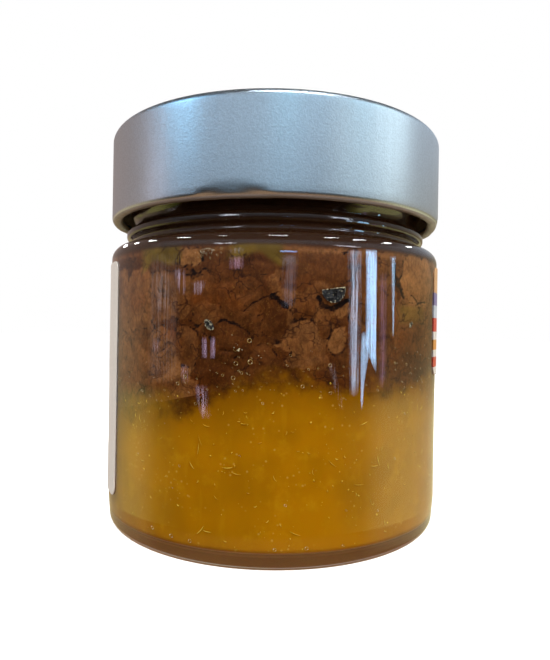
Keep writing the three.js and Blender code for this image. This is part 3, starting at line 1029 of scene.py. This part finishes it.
def wrapped_sheet(name, start, end, low, high, radius):
    """A paper sheet with rounded corners, cut into strips, thickened and bent round the glass."""
    thick, corner, strips = 0.16, 2.0, 72
    length, tall = radius * math.radians(end - start), high - low
    deselect()
    bpy.ops.mesh.primitive_plane_add(size=MM, rotation=(math.pi / 2, 0, 0))
    sheet = bpy.context.object
    sheet.name = sheet.data.name = name
    bpy.ops.object.transform_apply(location=True, rotation=True, scale=True)
    edit(sheet)
    bpy.ops.transform.resize(value=(length, 1, tall))
    bpy.ops.mesh.bevel(offset=corner * MM, segments=6, affect="VERTICES")
    for i in range(1, strips):
        bpy.ops.mesh.select_all(action="SELECT")
        spot = (length * (i / strips - 0.5)) * MM
        bpy.ops.mesh.bisect(plane_co=(spot, 0, 0), plane_no=(1, 0, 0))
    bpy.ops.mesh.select_all(action="SELECT")
    bpy.ops.mesh.normals_make_consistent(inside=False)
    bpy.ops.object.mode_set(mode="OBJECT")
    thicken = sheet.modifiers.new("thickness", "SOLIDIFY")
    thicken.thickness, thicken.offset = thick * MM, 0
    bpy.ops.object.modifier_apply(modifier=thicken.name)
    for vertex in sheet.data.vertices:
        x, y, z = vertex.co / MM
        turn = math.radians((start + end) / 2) + x / radius
        out = radius - y
        vertex.co = Vector((out * math.sin(turn), -out * math.cos(turn), z + (low + high) / 2)) * MM
    face_outwards(sheet)
    return sheet


class JAR_OT_labels(JarOperator):
    """Adds the white label and the printed label"""

    bl_idname = "jar.labels"
    bl_label = "Labels"

    def execute(self, context):
        off_glass = 0.14
        radius = self.sizes.body_radius / MM + off_glass
        white = wrapped_sheet("white_label", 204, 302, 7.2, 52.4, radius)
        finished(white, "back_label", "white_paper", plain_paper(self.colours))
        printed = wrapped_sheet("printed_label", 64, 156, 31.2, 52.6, radius)
        finished(printed, "front_label", "printed_paper", printed_paper(self.colours))
        return {"FINISHED"}


# The stage

EYE = Vector((0.35, -122.9, 39.6))  # where the camera stands, in millimetres
JAR_MIDDLE, LID_MIDDLE, SHOULDER_MIDDLE = Vector((0, 0, 0.035)), Vector((0, 0, 0.07)), Vector((0, 0, 0.055))

# Azimuth and elevation of each card that lights the satin lid, then width, height, strength and tint
LID_GLOWS = (
    (-64, 33, 0.125, 0.16, 4.9, (0.3, 0.7, 1.0)), (6, 33, 0.06, 0.14, 2.6, (0.3, 0.8, 1.0)),
    (30, 35, 0.05, 0.12, 2.4, (0.25, 0.7, 1.0)), (57, 33, 0.08, 0.14, 1.7, (0.3, 0.8, 1.0)),
    (82, 30, 0.18, 0.30, 1.3, (0.8, 0.98, 1.0)), (-5, 20, 0.55, 0.36, 0.2, (0.45, 0.78, 1.0)),
    (56, 25, 0.36, 0.40, 0.40, (0.82, 1.0, 1.0)), (-80, 8, 0.06, 0.22, 1.1, (1.0, 0.86, 0.95)),
    (-2, 63, 0.07, 0.05, 40, (0.85, 0.95, 1.0)), (38, 63, 0.12, 0.05, 30, (0.85, 0.95, 1.0)),
)

# Angle and width of each lamp mirrored as a white dash along the shoulder
DASHES = (
    (-54, 0.08), (-46, 0.04), (-38, 0.09), (-26, 0.09), (-14, 0.03), (1, 0.08), (15.8, 0.07),
    (23.8, 0.10), (34, 0.11), (44, 0.06),
)

# Tint, strength, softness and streakiness of each window mirrored in the glass, then heights with its
# left and right angles
WINDOWS = (
    (
        (0.38, 0.66, 1.0), 20, 0.15, 0.5, (57, 25.8, 29.9), (35.8, 26.4, 30.3), (34.6, 28.7, 30.3),
        (32.6, 30.2, 30.4),
    ),
    (
        (0.42, 0.68, 1.0), 15, 0.2, 0.4, (39.5, 25.0, 26.4), (35.8, 24.8, 27.7), (34.2, 24.8, 27.3),
        (31.5, 24.9, 26.4), (26.3, 25.3, 25.6),
    ),
    ((0.6, 0.75, 1.0), 8.5, 0.4, 0.9, (56, 20.0, 24.8), (42, 20.5, 25.0), (28.7, 21.6, 24.6)),
    ((0.4, 0.7, 1.0), 9.0, 0.5, 0.9, (54, 34.6, 37.5), (46, 35.6, 37.3), (38.7, 36.4, 36.9)),
    ((0.25, 0.5, 1.0), 14, 0.1, 0.2, (52.8, 1.4, 6.2), (52.0, 1.4, 6.2)),
    ((0.8, 0.9, 1.0), 0.7, 0.3, 0.7, (51.8, 1.4, 6.2), (49.9, 1.4, 6.2)),
    ((0.7, 0.75, 1.0), 0.9, 0.4, 0.9, (52, 1.5, 6.8), (43, 2.0, 6.0)),
    ((0.9, 0.8, 0.9), 1.3, 0.5, 1.0, (34.5, 14.6, 17.0), (26.5, 18.6, 20.4)),
    ((0.85, 0.66, 1.0), 5.0, 0.3, 0.6, (38.2, -19.6, -17.9), (34.7, -19.4, -17.7)),
    ((0.85, 0.66, 1.0), 5.0, 0.3, 0.6, (38.3, -17.1, -15.5), (34.7, -17.0, -15.4)),
    ((0.9, 0.9, 1.0), 9.0, 0.3, 1.0, (66, -17, -10), (57.5, -17, -10)),
    ((0.9, 0.9, 1.0), 9.0, 0.3, 1.0, (66, 16, 25), (57.5, 16, 25)),
    ((0.85, 0.75, 1.0), 4.0, 0.5, 1.0, (49.8, -29.4, -24.5), (45.2, -27.0, -24.5)),
    ((0.85, 0.75, 1.0), 4.5, 0.4, 1.0, (47.7, -23.0, -18.3), (45.2, -22.5, -19.5)),
    ((1.0, 0.6, 0.85), 3.0, 0.35, 0.7, (51.5, -12.3, -7.8), (49.1, -12.3, -7.8)),
    ((0.85, 0.9, 1.0), 1.6, 0.4, 0.8, (54.6, -12.3, -7.8), (51.6, -12.3, -7.8)),
    ((1.0, 0.88, 0.88), 0.9, 0.5, 1.0, (49.4, -38.4, -28.5), (42.4, -37.5, -29.5)),
    ((0.85, 0.7, 1.0), 3.0, 0.5, 1.0, (33.8, -26.4, -23.6), (30.4, -25.8, -23.1)),
    ((0.9, 0.7, 0.95), 3.5, 0.5, 1.0, (30.6, -22.1, -17.5), (24.7, -19.5, -16.3)),
    ((1.0, 0.7, 0.85), 1.6, 0.5, 1.0, (38.0, -37.1, -33.6), (35.2, -36.8, -33.4)),
    ((0.8, 0.5, 0.9), 1.3, 0.5, 1.0, (50, 30.3, 34.0), (29.8, 31.0, 34.5)),
    ((1.0, 0.88, 0.85), 0.5, 0.3, 0.7, (53, -39, -26), (30, -39, -26)),
    ((1.0, 0.93, 0.24), 1.0, 0.5, 0.0, (30, 14, 58), (-1, 14, 58)),
    ((1.0, 1.0, 0.2), 0.75, 0.5, 0.0, (30, -60, -22), (-1, -60, -22)),
)


def softbox(name, spot, size, power, tint=(1, 1, 1)):
    """A square area lamp aimed at the jar, seen in no reflection."""
    deselect()
    bpy.ops.object.light_add(type="AREA", location=spot)
    lamp = bpy.context.object
    lamp.name = name
    lamp.rotation_euler = (JAR_MIDDLE - Vector(spot)).to_track_quat("-Z", "Y").to_euler()
    lamp.data.size = size
    lamp.data.energy = power
    lamp.data.color = tint
    lamp.visible_glossy = lamp.visible_camera = lamp.visible_transmission = False


def light_card(card, n, tint, strength, sharp):
    """Makes a card a light that adds to what is behind it, seen only in sharp gloss or only in satin."""
    singular = n.add("ShaderNodeLightPath").outputs["Is Singular Ray"]
    seen = n.range(singular, 0.0, 1.0, float(not sharp), float(sharp))
    light = n.add("ShaderNodeEmission")
    n.put(light.inputs["Color"], tint)
    n.put(light.inputs["Strength"], n.times(strength, seen))
    over = n.add("ShaderNodeAddShader")
    n.put(over.inputs[0], light.outputs[0])
    n.put(over.inputs[1], n.add("ShaderNodeBsdfTransparent").outputs[0])
    card.data.materials.append(n.done(over.outputs[0]))
    n.material.cycles.emission_sampling = "NONE" if sharp else "FRONT_BACK"
    card.visible_camera = card.visible_diffuse = card.visible_transmission = card.visible_shadow = False


def aimed_card(name, spot, aim, width, tall, tint, strength, sharp):
    """An even light card of one size, aimed at a spot."""
    deselect()
    turn = (aim - spot).to_track_quat("-Z", "Y").to_euler()
    bpy.ops.mesh.primitive_plane_add(size=1, location=spot, rotation=turn)
    card = bpy.context.object
    card.name = card.data.name = name
    card.scale = (width, tall, 1)
    light_card(card, Nodes(name), tint, float(strength), sharp)


class JAR_OT_stage(JarOperator):
    """Adds the pale floor, the soft lights and the camera at the photograph's angle"""

    bl_idname = "jar.stage"
    bl_label = "Stage"

    def execute(self, context):
        self.floor()
        self.world()
        self.lamps()
        self.camera()
        self.windows()
        return {"FINISHED"}

    def floor(self):
        """A pale floor that fades into the white of the backdrop."""
        deselect()
        just_below = (0, 0, -0.03 * MM)
        bpy.ops.mesh.primitive_circle_add(vertices=96, radius=3, fill_type="TRIFAN", location=just_below)
        floor = bpy.context.object
        floor.name = floor.data.name = "floor"
        n = Nodes("pale floor")
        away = n.add("ShaderNodeVectorMath", operation="LENGTH")
        n.put(away.inputs[0], n.spot)
        far = n.range(away.outputs["Value"], 0.10, 0.5)
        tone = n.mix(n.noise(4, 2.0), (0.94, 0.94, 0.94), (0.92, 0.92, 0.92))
        tone = n.mix(far, tone, (0, 0, 0))
        paper = n.shader(Base_Color=tone, Roughness=0.9, Emission_Color=(1, 1, 1), Emission_Strength=far)
        floor.data.materials.append(n.done(paper))
        floor.visible_glossy = floor.visible_diffuse = floor.visible_transmission = False

    def world(self):
        """White to the camera and a room to everything else: dim in front, warm beside, cool above."""
        world = bpy.data.worlds.new("studio")
        bpy.context.scene.world = world
        n = Nodes("studio", world)
        way = n.add("ShaderNodeSeparateXYZ")
        n.put(way.inputs[0], n.add("ShaderNodeTexCoord").outputs["Generated"])
        x, y, z = way.outputs
        rightward = n.math("ARCTAN2", x, n.times(y, -1.0))
        leftward, down = n.times(rightward, -1.0), n.times(z, -1.0)
        right, left = n.range(rightward, 1.05, 1.45), n.range(leftward, 1.35, 1.9)
        by_floor = n.range(down, 0.0, 0.2)
        room = n.mix(right, (0.015, 0.014, 0.012), (0.38, 0.29, 0.15))
        for share, tint in (
            (left, (0.70, 0.52, 0.34)),
            (n.times(right, by_floor), (0.86, 0.78, 0.46)),
            (n.times(left, by_floor), (0.62, 0.50, 0.27)),
            (n.range(z, 0.03, 0.38), (0.60, 0.66, 0.74)),
            (n.times(n.range(leftward, 1.2, 1.8), n.range(z, -0.05, 0.1)), (0.42, 0.33, 0.30)),
            (n.range(z, 0.5, 0.72), (0.12, 0.11, 0.11)),
            (n.range(down, 0.35, 0.6), (0.42, 0.24, 0.13)),
        ):
            room = n.mix(share, room, tint)
        soft, white = (n.add("ShaderNodeBackground") for _ in range(2))
        n.put(soft.inputs["Color"], room)
        n.put(white.inputs["Color"], (1, 1, 1))
        seen = n.add("ShaderNodeLightPath").outputs["Is Camera Ray"]
        n.done(n.mixed_shaders(seen, soft.outputs[0], white.outputs[0]), "ShaderNodeOutputWorld")

    def lamps(self):
        """Soft lamps for the whole jar, and cards that show only on the lid or along the shoulder."""
        softbox("overhead", (0, 0.1, 1.6), 2.4, 90.0)
        softbox("key_left", (-0.55, -0.75, 0.45), 0.5, 3.9)
        softbox("key_right", (0.6, -0.7, 0.35), 0.5, 4.5, (1, 0.96, 0.9))
        glow_away = 0.5
        for number, (turn, rise, wide, tall, strength, tint) in enumerate(LID_GLOWS):
            a, e = math.radians(turn), math.radians(rise)
            way = Vector((math.sin(a) * math.cos(e), -math.cos(a) * math.cos(e), math.sin(e)))
            spot = LID_MIDDLE + glow_away * way
            aimed_card(f"lid_glow_{number}", spot, LID_MIDDLE, wide, tall, tint, strength, False)
        dash_tint, dash_tall, dash_strength = (0.95, 0.97, 1.0), 0.024, 34
        for number, (turn, wide) in enumerate(DASHES):
            spot = self.mirrored(turn, SHOULDER - FILLET, tilt=31, far=500) * MM
            name = f"ceiling_{number}"
            aimed_card(name, spot, SHOULDER_MIDDLE, wide, dash_tall, dash_tint, dash_strength, True)

    def windows(self):
        """Adds cards far off, shaped so that the glass mirrors each as a streak; they light nothing."""
        for number, (tint, strength, soft, ripple, *rows) in enumerate(WINDOWS):
            deselect()
            bpy.ops.mesh.primitive_grid_add(x_subdivisions=8, y_subdivisions=10, size=1)
            card = bpy.context.object
            card.name = card.data.name = f"window_{number}"
            heights, lefts, rights = np.array(rows[::-1]).T
            low, tall = heights[0], heights[-1] - heights[0]
            glow = []
            for vertex in card.data.vertices:
                s, t = vertex.co.x + 0.5, vertex.co.y + 0.5
                height = low + tall * t
                left, right = np.interp(height, heights, lefts), np.interp(height, heights, rights)
                vertex.co = self.mirrored(left + (right - left) * s, height) * MM
                side, end = min(s, 1 - s), tall * min(t, 1 - t)
                glow.append(ramp(side, -0.01, soft) * ramp(end, -0.01, soft * 2))
            paint(card, "glow", glow)
            n = Nodes(f"window light {number}")
            lines = n.range(n.noise(1.0, 4.0, 0.75, n.stretched(45, 45, 4)), 0.4, 0.6, 1 - ripple, 1 + ripple)
            light_card(card, n, tint, n.times(n.times(n.attribute("glow"), lines), float(strength)), True)

    def mirrored(self, angle, height, tilt=0, far=1000):
        """The far spot, in millimetres, that the glass mirrors towards the eye from one angle and height.

        With a tilt, the glass is the round shoulder that begins at that height.
        """
        turn, rise = math.radians(angle), math.radians(tilt)
        out, up = Vector((math.sin(turn), -math.cos(turn), 0)), Vector((0, 0, 1))
        normal = out * math.cos(rise) + up * math.sin(rise)
        spot = out * (self.sizes.body_radius / MM - FILLET) + up * height + normal * FILLET
        return spot + (spot - EYE).normalized().reflect(normal) * far

    def camera(self):
        """The camera, level and with the photograph's slight roll."""
        deselect()
        bpy.ops.object.camera_add(location=EYE * MM)
        camera = bpy.context.object
        level, roll = math.pi / 2, math.radians(-0.95)
        camera.rotation_euler = (level, roll, 0)
        camera.data.sensor_width, camera.data.lens = 36, 29.78
        camera.data.clip_start = 5 * MM
        camera.data.dof.use_dof = False
        bpy.context.scene.camera = camera
        bpy.context.scene.view_settings.view_transform = "Standard"


OPERATORS = (
    JAR_OT_glass, JAR_OT_lid, JAR_OT_marmalade, JAR_OT_fruit, JAR_OT_pockets, JAR_OT_bubbles, JAR_OT_fibres,
    JAR_OT_labels, JAR_OT_stage,
)


class JAR_PT_panel(bpy.types.Panel):
    """Lists the jar's pieces in the sidebar"""

    bl_idname = "JAR_PT_panel"
    bl_label = "Marmalade jar"
    bl_space_type = "VIEW_3D"
    bl_region_type = "UI"
    bl_category = "Jar"

    def draw(self, context):
        for operator in OPERATORS:
            self.layout.operator(operator.bl_idname)
        for group in (context.scene.jar_sizes, context.scene.jar_colours):
            for name in group.bl_rna.properties.keys():
                if name not in {"rna_type", "name"}:
                    self.layout.prop(group, name)


CLASSES = (JarSizes, JarColours, *OPERATORS, JAR_PT_panel)


def register():
    for cls in CLASSES:
        bpy.utils.register_class(cls)
    bpy.types.Scene.jar_sizes = PointerProperty(type=JarSizes)
    bpy.types.Scene.jar_colours = PointerProperty(type=JarColours)


def unregister():
    del bpy.types.Scene.jar_sizes
    del bpy.types.Scene.jar_colours
    for cls in reversed(CLASSES):
        bpy.utils.unregister_class(cls)


def main():
    register()
    for operator in OPERATORS:
        group, name = operator.bl_idname.split(".")
        getattr(getattr(bpy.ops, group), name)()


if __name__ == "__main__":
    main()
